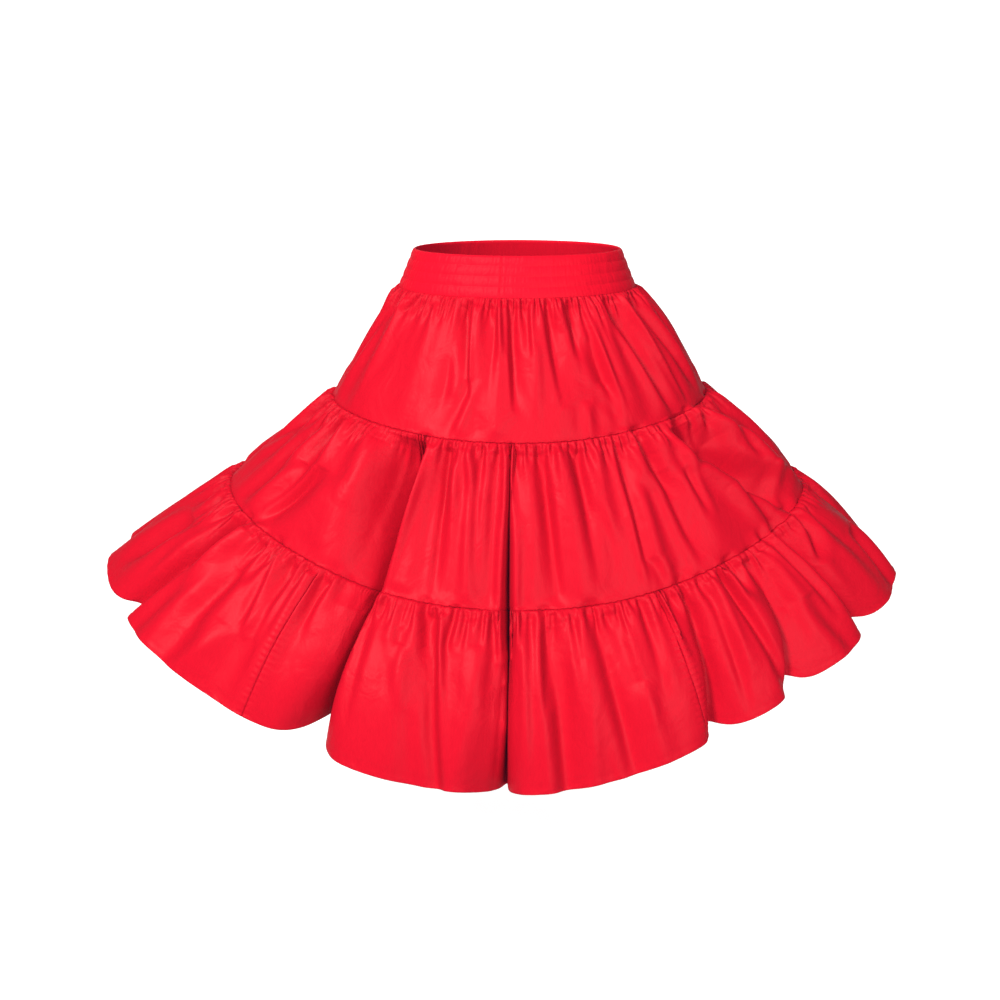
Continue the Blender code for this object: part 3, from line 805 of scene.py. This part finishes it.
def settle(points, outward, width, lengths, bend, steps, limits, pinned_foot):
    """Lets gathered cloth take up its full cut width between its seams, as folds of its own.

    Each stretch of the grid comes to its own length across and down, while bending evens it
    out, and the cloth stays within its limits in front of and behind its form.
    """
    form = points.copy()
    alternate = (slice(0, None, 2), slice(1, None, 2))
    diagonal = np.sqrt(width**2 + lengths**2)
    for step in range(steps):
        for part in alternate:
            following = np.roll(points, -1, axis=1)
            pull = pair_pull(points[:, part], following[:, part], width, PULL_ACROSS)
            points[:, part] += pull
            after = (np.arange(points.shape[1])[part] + 1) % points.shape[1]
            points[:, after] -= pull
        for part in alternate:
            upper = points[:-1][part]
            lower = points[1:][part]
            pull = pair_pull(upper, lower, lengths[part][: len(upper)], PULL_DOWN)
            upper += pull
            lower -= pull
        following = np.roll(points, -1, axis=1)
        pull = pair_pull(points[:-1], following[1:], diagonal, PULL_ASLANT)
        points[:-1] += pull
        points[1:] -= np.roll(pull, 1, axis=1)
        pull = pair_pull(following[:-1], points[1:], diagonal, PULL_ASLANT)
        points[:-1] += np.roll(pull, 1, axis=1)
        points[1:] -= pull
        shift = points - form
        for again in range(BEND_TIMES):
            shift += bend * (mean_beside(shift) - shift)
        shift[1:-1] += BEND_DOWN * ((shift[2:] + shift[:-2]) / 2 - shift[1:-1])
        out = np.einsum("...i,...i->...", shift, outward)
        level = shift - outward * out[..., None]
        out = np.clip(out, -limits[0], limits[1])
        points[:] = form + level * (1 - STAY) + outward * out[..., None]
        points[0] = form[0]
        if pinned_foot:
            points[-1] = form[-1]
    return points


def soften(points, angle):
    """Rounds the wall beside the deep left fold, where pulled cloth would come to a hard edge."""
    weight = SOFT_WEIGHT * stretch(angle, SOFT_WALL, SOFT_HALF)[..., None]
    for step in range(SOFT_STEPS):
        points = points + weight * (mean_beside(points) - points)
    return points


def seam_edges(number, share, length):
    """The puff of a tier from under its seam, and the small dips at its top and foot."""
    from_top = share * length
    rise = np.exp(-from_top / PUFF_LENGTH) * (1 - np.exp(-from_top / PUFF_START))
    foot = FOOT_DIP if number < len(TIERS) - 1 else HEM_GROOVE
    edges = relief(SEAM_DIPS[number], from_top) + relief(foot, (1 - share) * length)
    return PUFF[number] * MM * rise + edges


def teeth(number, share, seed):
    """The small close knobs of gathered cloth right under its seam."""
    chance = np.random.default_rng(seed + TOOTH_SEED + number)
    count = int(CUTS[number][0] / TOOTH_PITCH[number])
    phase, each = scattered(chance, count, TOOTH_STRAY, share.shape[1])
    height = each(*TOOTH_HEIGHTS)
    length = each(*TOOTH_LENGTHS) * TOOTH_LENGTH
    from_top = share * CUTS[number][1]
    fade = (1 - np.exp(-from_top / TOOTH_GROWS)) * np.exp(-((from_top / length[None]) ** 2))
    return TOOTH_DEPTH * height[None] * fade * np.cos(phase)[None]


def even_angles(number):
    """Angles that share a tier's cut width evenly at its foot, starting at the first join."""
    fine = radians(PANELS[0].start) + np.linspace(0, 2 * pi, FINE_ANGLES)
    foot = np.ones_like(fine)
    point, outward, down = frame_at(number, foot, fine)
    depth, rise = folds_at(number + foot, fine, np.hypot(point[:, 0], point[:, 1]))[:2]
    point = point - outward * depth[:, None] - down * rise[:, None]
    arc = np.concatenate([[0], np.cumsum(np.linalg.norm(np.diff(point, axis=0), axis=1))])
    return np.interp(np.arange(TIERS[number].columns) / TIERS[number].columns * arc[-1], arc, fine)


def seam_wander(ring, angle, seed):
    """How far a seam wanders down or up from its ring, in metres, as its gathers pull on it."""
    if ring in (0, len(RINGS) - 1):
        return np.zeros_like(angle)
    chance = np.random.default_rng(seed + WANDER_SEED + ring)
    wander = np.zeros_like(angle)
    for count, size in SEAM_WAVES:
        wander += size * np.sin((count + MORE_WAVES * ring) * angle + chance.uniform(0, 2 * pi))
    return SEAM_WANDER * wander * MM


def join_marks(number, share, angle, reach):
    """Groove and puckers of the joins between the lowest tier's panels, and the hem's ripples."""
    marks = np.zeros_like(share)
    if number < len(TIERS) - 1:
        return marks
    down = share * LOWEST_CUT[1]
    shows = JOIN_LEAST + (1 - JOIN_LEAST) * np.clip((share - JOIN_FROM) / JOIN_BY, 0, 1)
    for panel in PANELS:
        apart = signed_turn(angle - radians(panel.start)) * reach
        marks += shows * relief(JOIN_GROOVE, apart)
        for pitch, size, turn in PUCKERS:
            pucker = size * np.sin(2 * pi * down / pitch + np.sign(apart) * turn)
            marks += shows * pucker * relief(JOIN_PUCKER, np.abs(apart))
    from_hem = LOWEST_CUT[1] - down
    return marks + np.sin(angle * HEM_RIPPLES + from_hem / HEM_LEAN) * relief(HEM_RIPPLE, from_hem)


def gathered(number, share, form, smooth, outward, angle, cloth):
    """A tier's gathers, settled from small waves on its form to its full cut."""
    waves = cloth.gather_depth * start_waves(number, share, cloth.seed) * calm(number, angle)
    start = form + outward * waves[..., None]
    width = CUTS[number][0] / share.shape[1]
    lengths = np.linalg.norm(np.diff(smooth, axis=0), axis=2)
    near_top = np.clip(share / LIMIT_GROWS, LIMIT_LEAST, 1)
    limits = (GATHER_IN * MM * near_top, GATHER_OUT * MM * near_top)
    lower = np.clip((share[..., None] - BEND_FROM) / BEND_BY, 0, 1) ** 2
    bend = BEND_TOP + (BEND_LOW - BEND_TOP) * lower
    steps = cloth.steps
    return settle(start, outward, width, lengths, bend, steps, limits, number < len(TIERS) - 1)


def with_allowance(face, outward, down):
    """A tier's face with the seam allowance behind its top edge."""
    turned = face[0] - outward[0] * ALLOWANCE_IN
    allowance = turned - down[0] * ALLOWANCE_UP - outward[0] * ALLOWANCE_IN
    return np.concatenate([[allowance, turned], face])


def cloth_points(number, share, angle, cloth):
    """The outer face of a tier with everything that shapes it."""
    point, outward, down = frame_at(number, share, angle)
    reach = np.hypot(point[..., 0], point[..., 1])
    level = number + share
    depth, rise, lap = folds_at(level, angle, reach)
    creased = cloth.crease_depth * creases_at(level, angle, reach) * np.interp(level, *CREASE_SHARES)
    raised = creased - depth
    around = np.stack([np.cos(angle), np.sin(angle), np.zeros_like(angle)], -1)
    form = point + outward * raised[..., None] - down * rise[..., None] + around * lap[..., None]
    smooth = point + outward * (-depth)[..., None] - down * rise[..., None]
    settled = gathered(number, share, form, smooth, outward, angle, cloth)
    if number == len(TIERS) - 1:
        settled = soften(settled, angle)
    finish = seam_edges(number, share, CUTS[number][1]) + join_marks(number, share, angle, reach)
    finish += teeth(number, share, cloth.seed)
    upper = seam_wander(number, angle, cloth.seed) * np.exp(-share / WANDER_REACH)
    lower = seam_wander(number + 1, angle, cloth.seed) * np.exp((share - 1) / WANDER_REACH)
    face = settled + outward * finish[..., None] + down * (upper + lower)[..., None]
    return with_allowance(face, outward, down)


def sheet_mesh(name, points, closed, spread):
    """A mesh of quads on a grid of points, with a map in metres of cloth."""
    rows, columns = points.shape[:2]
    index = np.arange(rows * columns).reshape(rows, columns)
    after = np.roll(index, -1, axis=1) if closed else index[:, 1:]
    before = index if closed else index[:, :-1]
    faces = np.stack([before[:-1], before[1:], after[1:], after[:-1]], -1).reshape(-1, 4)
    mesh = bpy.data.meshes.new(name)
    mesh.from_pydata(points.reshape(-1, 3), [], faces.tolist())
    mesh.update()
    across = np.arange(columns + 1) / (columns if closed else columns - 1) * spread[0]
    along = np.arange(rows) / (rows - 1) * spread[1]
    step = np.arange(before.shape[1])
    corner_columns = np.stack([step, step, step + 1, step + 1], -1)
    corner_rows = np.array([0, 1, 1, 0])
    u = np.broadcast_to(across[corner_columns], (rows - 1,) + corner_columns.shape)
    v = along[np.arange(rows - 1)[:, None, None] + corner_rows]
    v = np.broadcast_to(v, u.shape)
    layer = mesh.uv_layers.new(name="cloth")
    layer.data.foreach_set("uv", np.stack([u, -v], -1).reshape(-1))
    mesh.shade_smooth()
    return mesh


def grid_normals(points, closed):
    """A grid of points, with a closed grid's first column again, and its outward directions."""
    if closed:
        points = np.concatenate([points, points[:, :1]], axis=1)
    across = np.gradient(points, axis=1)
    if closed:
        joined = points[:, 1] - points[:, -2]
        across[:, 0] = joined / 2
        across[:, -1] = joined / 2
    return points, unit(np.cross(across, np.gradient(points, axis=0)))


def stitches(name, rows):
    """One mesh of short stitches along rows; a row is its points and outward directions."""
    corners = []
    for path, outward in rows:
        steps = np.linalg.norm(np.diff(path, axis=0), axis=1)
        along = np.concatenate([[0], np.cumsum(steps)])
        starts = np.arange(STITCH_PITCH / 2, along[-1] - STITCH_LENGTH, STITCH_PITCH)
        at = starts[:, None] + STITCH_LENGTH * STITCH_AT
        centre = np.stack([np.interp(at, along, path[:, axis]) for axis in range(3)], -1)
        out = unit(np.stack([np.interp(at, along, outward[:, axis]) for axis in range(3)], -1))
        ahead = unit(centre[:, -1:] - centre[:, :1])
        side = np.cross(out, np.broadcast_to(ahead, out.shape))
        lift = THREAD * STITCH_LIFT[:, None]
        around = np.arange(STITCH_SIDES) * 2 * pi / STITCH_SIDES
        width = THREAD * STITCH_WIDTH[:, None, None]
        ring = np.cos(around)[:, None] * out[:, :, None] + np.sin(around)[:, None] * side[:, :, None]
        corners.append((centre + out * lift)[:, :, None] + ring * width)
    corners = np.concatenate(corners)
    index = np.arange(corners[..., 0].size).reshape(corners.shape[:3])
    after = np.roll(index, -1, axis=2)
    faces = np.stack([index[:, :-1], index[:, 1:], after[:, 1:], after[:, :-1]], -1).reshape(-1, 4)
    mesh = bpy.data.meshes.new(name)
    mesh.from_pydata(corners.reshape(-1, 3), [], faces.tolist())
    mesh.update()
    mesh.shade_smooth()
    return mesh


def sew(name, rows, looks):
    """Adds rows of stitches as one piece."""
    thread = get_material("thread", thread_material, looks)
    return place(name, stitches(name, rows), thread, [])


def place(name, mesh, material, nodes):
    """Links a piece, gives it its material and ties it to the frame."""
    piece = bpy.data.objects.new(name, mesh)
    bpy.data.collections["skirt"].objects.link(piece)
    mesh.materials.append(material)
    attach(piece, BODY)
    if nodes:
        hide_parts(*nodes)
    return piece


def rim(piece, thickness):
    """Shows the cloth's thickness at its edges."""
    edge = piece.modifiers.new("thickness", "SOLIDIFY")
    edge.thickness = thickness
    edge.offset = -1
    edge.use_rim_only = True


def set_inputs(made, **values):
    """Sets a node's inputs by their names, with _ for each space."""
    for key, value in values.items():
        made.inputs[key.replace("_", " ")].default_value = value


def node(tree, kind, **values):
    """A shader node with its named inputs set."""
    made = tree.nodes.new(kind)
    set_inputs(made, **values)
    return made


def new_material(name):
    """A new material, its node tree and its surface."""
    material = bpy.data.materials.new(name)
    material.use_nodes = True
    return material, material.node_tree, material.node_tree.nodes["Principled BSDF"]


def dye(tree, first, second, share):
    """Gives a material's surface its colour: two mixed by what a socket puts out."""
    mix = tree.nodes.new("ShaderNodeMix")
    mix.data_type = "RGBA"
    set_inputs(mix, A=first, B=second)
    tree.links.new(share, mix.inputs["Factor"])
    tree.links.new(mix.outputs["Result"], tree.nodes["Principled BSDF"].inputs["Base Color"])


def weave_group():
    """Height and fleck of a plain weave, from the cloth's own map in metres."""
    group = bpy.data.node_groups.get("plain_weave")
    if group:
        return group
    group = bpy.data.node_groups.new("plain_weave", "ShaderNodeTree")
    pitch = group.interface.new_socket("Pitch", in_out="INPUT", socket_type="NodeSocketFloat")
    pitch.default_value = WEAVE_PITCH
    group.interface.new_socket("Height", in_out="OUTPUT", socket_type="NodeSocketFloat")
    group.interface.new_socket("Fleck", in_out="OUTPUT", socket_type="NodeSocketFloat")
    join = group.links.new
    start = group.nodes.new("NodeGroupInput")
    end = group.nodes.new("NodeGroupOutput")
    place_map = group.nodes.new("ShaderNodeUVMap")
    place_map.uv_map = "cloth"
    split = group.nodes.new("ShaderNodeSeparateXYZ")
    join(place_map.outputs["UV"], split.inputs[0])

    def maths(operation, first, second=None):
        step = group.nodes.new("ShaderNodeMath")
        step.operation = operation
        for socket, value in zip(step.inputs, (first, second)):
            if value is None:
                continue
            if isinstance(value, (int, float)):
                socket.default_value = value
            else:
                join(value, socket)
        return step.outputs[0]

    turns = maths("DIVIDE", pi, start.outputs["Pitch"])
    warp = maths("SINE", maths("MULTIPLY", split.outputs["X"], turns))
    weft = maths("SINE", maths("MULTIPLY", split.outputs["Y"], turns))
    join(maths("MULTIPLY", warp, weft), end.inputs["Height"])
    fleck = node(group, "ShaderNodeTexNoise", Scale=900.0, Detail=2.0)
    stretch_map = node(group, "ShaderNodeMapping", Scale=FLECK_STRETCH)
    join(place_map.outputs["UV"], stretch_map.inputs["Vector"])
    join(stretch_map.outputs["Vector"], fleck.inputs["Vector"])
    join(fleck.outputs["Fac"], end.inputs["Fleck"])
    return group


def cloth_material(name, looks, painted_light=1.0, gloss=1.0):
    """Red poly-cotton: woven, softly sheened, with faint uneven dye, a faint painted glow, and its
    colours scaled by a factor of painted light.
    """
    material, tree, surface = new_material(name)
    join = tree.links.new
    set_inputs(surface, Roughness=looks.roughness, Specular_IOR_Level=CLOTH_SPECULAR * gloss)
    # A faint painted glow over all the cloth that lifts its darkest folds.
    set_inputs(surface, Emission_Color=PAINTED_GLOW_COLOUR, Emission_Strength=PAINTED_GLOW)
    set_inputs(surface, Sheen_Weight=SHEEN, Sheen_Roughness=SHEEN_ROUGHNESS, Sheen_Tint=SHEEN_TINT)
    weave = tree.nodes.new("ShaderNodeGroup")
    weave.node_tree = weave_group()
    set_inputs(weave, Pitch=looks.weave_pitch)
    place_map = tree.nodes.new("ShaderNodeUVMap")
    place_map.uv_map = "cloth"
    crumple = node(tree, "ShaderNodeTexNoise", Scale=26.0, Detail=3.0, Distortion=0.8)
    join(place_map.outputs["UV"], crumple.inputs["Vector"])
    dents = node(tree, "ShaderNodeBump", Strength=1.0, Distance=looks.crumple)
    join(crumple.outputs["Fac"], dents.inputs["Height"])
    bump = node(tree, "ShaderNodeBump", Strength=0.35, Distance=WEAVE_DEPTH)
    join(weave.outputs["Height"], bump.inputs["Height"])
    join(dents.outputs["Normal"], bump.inputs["Normal"])
    join(bump.outputs["Normal"], surface.inputs["Normal"])
    # Both colours are scaled by the painted light factor: above 1 the piece is painted brighter, as if
    # more light fell on it.
    red, shade = [
        [part * painted_light for part in colour[:3]] + [1.0] for colour in (looks.red, looks.shade)
    ]
    dye(tree, red, shade, weave.outputs["Fleck"])
    return material


def thread_material(looks):
    """Sewing thread, a little darker than the cloth."""
    material, tree, surface = new_material("thread")
    set_inputs(surface, Roughness=0.6, Specular_IOR_Level=0.2)
    twist = node(tree, "ShaderNodeTexNoise", Scale=1500.0, Detail=1.0)
    dye(tree, looks.thread, looks.red, twist.outputs["Fac"])
    return material


def get_material(name, make, *values):
    """A material by name, made the first time it is asked for."""
    return bpy.data.materials.get(name) or make(*values)


def tier_grid(number, angles):
    """Shares and angles of a tier's mesh, with rows crowded under its seam and at its foot."""
    first, last = BODY_ROWS
    count = TIERS[number].rows - len(TOP_ROWS) - len(FOOT_ROWS)
    body = first + (last - first) * np.linspace(0, 1, count) ** CROWDING
    return np.meshgrid(np.concatenate([TOP_ROWS, body, FOOT_ROWS]), angles, indexing="ij")


def band_ripples(share, angle, channel, cloth):
    """The small ripples of the band's cloth, highest on its channels."""
    chance = np.random.default_rng(cloth.seed + BAND_SEED)
    ripple = np.zeros_like(share)
    for count, size in BAND_RIPPLES:
        phase = chance.uniform(0, 2 * pi, CHANNELS + 1)
        bend = np.interp(share * CHANNELS, np.arange(CHANNELS + 1), phase)
        ripple += size * np.sin(count * angle + bend)
    return ripple * (cloth.ripple * RIPPLE_SHARE * (RIPPLE_SEWN + (1 - RIPPLE_SEWN) * channel))


def band_faces(cloth):
    """The outer and inner faces of the waistband."""
    angles = np.linspace(0, 2 * pi, BAND_COLUMNS, endpoint=False)
    share, angle = np.meshgrid(np.linspace(0, 1, BAND_ROWS), angles, indexing="ij")
    top, top_level = ring_point(WAIST, angle)
    foot, foot_level = ring_point(RINGS[0], angle)
    outward = outward_and_down(unit(top_level + foot_level), fall(WAIST, RINGS[0], angle))[0]
    channel = np.abs(np.sin(CHANNELS * pi * share))
    ripple = band_ripples(share, angle, channel, cloth)
    join = signed_turn(angle - radians(BAND_JOIN)) * BAND_REACH
    raised = CHANNEL_RISE * channel**CHANNEL_POWER + ripple
    raised += relief(BAND_GROOVE, join) + relief(BAND_RIDGE, np.abs(join))
    raised += relief(BAND_EDGE, share * 2 * BAND_HALF_HEIGHT)
    plain = top + (foot - top) * share[..., None]
    outer = plain + outward * raised[..., None]
    inner = plain - outward * BAND_CLOTH + outward * (ripple * RIPPLE_INSIDE)[..., None]
    return outer, inner


class SKIRT_OT_waistband(bpy.types.Operator):
    """Makes the elastic waistband: four gathered channels and the join in front"""

    bl_idname = "skirt.waistband"
    bl_label = "Add Waistband"

    def execute(self, context):
        cloth = context.scene.skirt_cloth
        looks = context.scene.skirt_looks
        outer, inner = band_faces(cloth)
        points = np.concatenate([inner[::-INNER_STEP], outer], axis=0)
        mesh = sheet_mesh("waistband_cloth", points, True, BAND_CUT)
        # The band is a copy of the cloth's material with its colour painted brighter, as if more light
        # fell on it.
        finish = ("band_red_painted_lighter", looks, BAND_PAINTED_LIGHT, BAND_GLOSS)
        material = get_material("band_red_painted_lighter", cloth_material, *finish)
        piece = place("waistband_cloth", mesh, material, ["waistband"])
        face, out = grid_normals(outer, True)
        rows = [(face[row], out[row]) for row in BAND_STITCH_ROWS]
        for apart in BAND_JOIN_STITCHES:
            turn = (radians(BAND_JOIN) + apart / BAND_REACH) % (2 * pi)
            column = int(round(turn / (2 * pi) * BAND_COLUMNS))
            rows.append((face[BAND_JOIN_ROWS, column], out[BAND_JOIN_ROWS, column]))
        sew("waistband_stitches", rows, looks)
        return {"FINISHED"}


class SKIRT_OT_tiers(bpy.types.Operator):
    """Makes the two upper tiers and the four panels of the lowest one"""

    bl_idname = "skirt.tiers"
    bl_label = "Add Tiers"

    def execute(self, context):
        cloth = context.scene.skirt_cloth
        looks = context.scene.skirt_looks
        material = get_material("cloth_red", cloth_material, "cloth_red", looks)
        for number, cut in enumerate(CUTS):
            angles = even_angles(number)
            share, angle = tier_grid(number, angles)
            points = cloth_points(number, share, angle, cloth)
            face, out = grid_normals(points, True)
            if number < len(CUTS) - 1:
                name = "tier_" + str(number + 1)
                mesh = sheet_mesh(name + "_cloth", points, True, cut)
                above = "tier_1_cloth" if number else "waistband_cloth"
                self.add(name, mesh, material, cut, above, cloth)
                sew(name + "_stitches", [(face[SEAM_STITCH_ROW], out[SEAM_STITCH_ROW])], looks)
                continue
            sew("hem_stitches", [(face[HEM_STITCH_ROW], out[HEM_STITCH_ROW])], looks)
            turns = np.degrees(np.append(angles, angles[0] + 2 * pi))
            for panel in PANELS:
                first = int(np.abs(turns - panel.start).argmin())
                last = int(np.abs(turns - panel.end).argmin())
                part = (cut[0] * (last - first) / TIERS[number].columns, cut[1])
                mesh = sheet_mesh(panel.name + "_cloth", face[:, first : last + 1], False, part)
                self.add(panel.name, mesh, material, part, "tier_2_cloth", cloth)
        return {"FINISHED"}

    def add(self, name, mesh, material, cut, above, cloth):
        """Adds one piece of cloth in the place of its solid."""
        piece = place(name + "_cloth", mesh, material, [name])
        rim(piece, cloth.thickness)


def studio_material(name, colour, roughness, glow):
    """A plain pale surface that looks a little brighter to the camera than it lights."""
    material, tree, surface = new_material(name)
    set_inputs(surface, Base_Color=colour, Roughness=roughness, Specular_IOR_Level=0.1)
    set_inputs(surface, Emission_Color=WHITE)
    paths = tree.nodes.new("ShaderNodeLightPath")
    seen = tree.nodes.new("ShaderNodeMath")
    seen.operation = "MULTIPLY"
    seen.inputs[1].default_value = glow
    tree.links.new(paths.outputs["Is Camera Ray"], seen.inputs[0])
    tree.links.new(seen.outputs[0], surface.inputs["Emission Strength"])
    return material


def aim(thing, at, towards):
    """Links a light or camera where it stands and points it at its aim."""
    thing.location = at
    thing.rotation_euler = (Vector(towards) - Vector(at)).to_track_quat("-Z", "Y").to_euler()
    bpy.context.scene.collection.objects.link(thing)


def area_light(light, power):
    """A soft square light."""
    lamp = bpy.data.lights.new(light.name, "AREA")
    lamp.energy = power
    lamp.size = light.side
    aim(bpy.data.objects.new(light.name, lamp), light.at, light.towards)


def backdrop_mesh(floor_z):
    """A floor that curves up into a wall behind the skirt."""
    profile = [(FLOOR_FRONT, floor_z)]
    for turn in np.linspace(0, pi / 2, CURVE_STEPS):
        profile.append((FLOOR_BACK + CURVE * np.sin(turn), floor_z + CURVE * (1 - np.cos(turn))))
    profile.append((FLOOR_BACK + CURVE, floor_z + WALL_HEIGHT))
    across = np.linspace(-BACKDROP_HALF, BACKDROP_HALF, 3)
    points = np.array([[(x, y, z) for x in across] for y, z in profile])
    return sheet_mesh("backdrop", points, False, (2 * BACKDROP_HALF, 2 * BACKDROP_HALF))


class SKIRT_OT_studio(bpy.types.Operator):
    """Makes the pale floor, the soft lights and the photograph's camera"""

    bl_idname = "skirt.studio"
    bl_label = "Add Studio"

    def execute(self, context):
        stage = context.scene.skirt_stage
        mesh = backdrop_mesh(-stage.floor_drop)
        finish = (BACKDROP_GREY, BACKDROP_ROUGHNESS, stage.backdrop)
        mesh.materials.append(studio_material("backdrop_white", *finish))
        backdrop = bpy.data.objects.new("backdrop", mesh)
        context.scene.collection.objects.link(backdrop)
        for light in LIGHTS:
            area_light(light, getattr(stage, light.setting) * light.share)
        world = bpy.data.worlds.new("surround")
        world.use_nodes = True
        set_inputs(world.node_tree.nodes["Background"], Color=WHITE, Strength=stage.sky)
        context.scene.world = world
        context.scene.view_settings.view_transform = "Standard"
        lens = bpy.data.cameras.new("photo_camera")
        lens.sensor_width = SENSOR_MM
        lens.lens = SENSOR_MM * FOCAL_PX / IMAGE_PX
        camera = bpy.data.objects.new("photo_camera", lens)
        aim(camera, CAMERA_AT, CAMERA_LOOKS_AT)
        context.scene.camera = camera
        return {"FINISHED"}


class SKIRT_PT_panel(bpy.types.Panel):
    """Sizes, colours and steps of the skirt."""

    bl_idname = "SKIRT_PT_panel"
    bl_label = "Tiered Skirt"
    bl_space_type = "VIEW_3D"
    bl_region_type = "UI"
    bl_category = "Skirt"

    def draw(self, context):
        layout = self.layout
        groups = (context.scene.skirt_cloth, context.scene.skirt_looks, context.scene.skirt_stage)
        for group in groups:
            box = layout.box()
            for name in group.__annotations__:
                box.prop(group, name)
        for operator in (SKIRT_OT_waistband, SKIRT_OT_tiers, SKIRT_OT_studio):
            layout.operator(operator.bl_idname)


CLASSES = (
    SkirtCloth,
    SkirtLooks,
    SkirtStage,
    SKIRT_OT_waistband,
    SKIRT_OT_tiers,
    SKIRT_OT_studio,
    SKIRT_PT_panel,
)


def register():
    """Registers the classes and their settings."""
    for item in CLASSES:
        bpy.utils.register_class(item)
    bpy.types.Scene.skirt_cloth = PointerProperty(type=SkirtCloth)
    bpy.types.Scene.skirt_looks = PointerProperty(type=SkirtLooks)
    bpy.types.Scene.skirt_stage = PointerProperty(type=SkirtStage)


def unregister():
    """Takes the settings and classes away again."""
    del bpy.types.Scene.skirt_stage
    del bpy.types.Scene.skirt_looks
    del bpy.types.Scene.skirt_cloth
    for item in reversed(CLASSES):
        bpy.utils.unregister_class(item)


def main():
    """Makes the whole scene."""
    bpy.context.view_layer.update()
    register()
    home = bpy.data.collections.new("skirt")
    bpy.context.scene.collection.children.link(home)
    bpy.ops.skirt.waistband()
    bpy.ops.skirt.tiers()
    bpy.ops.skirt.studio()


if __name__ == "__main__":
    main()
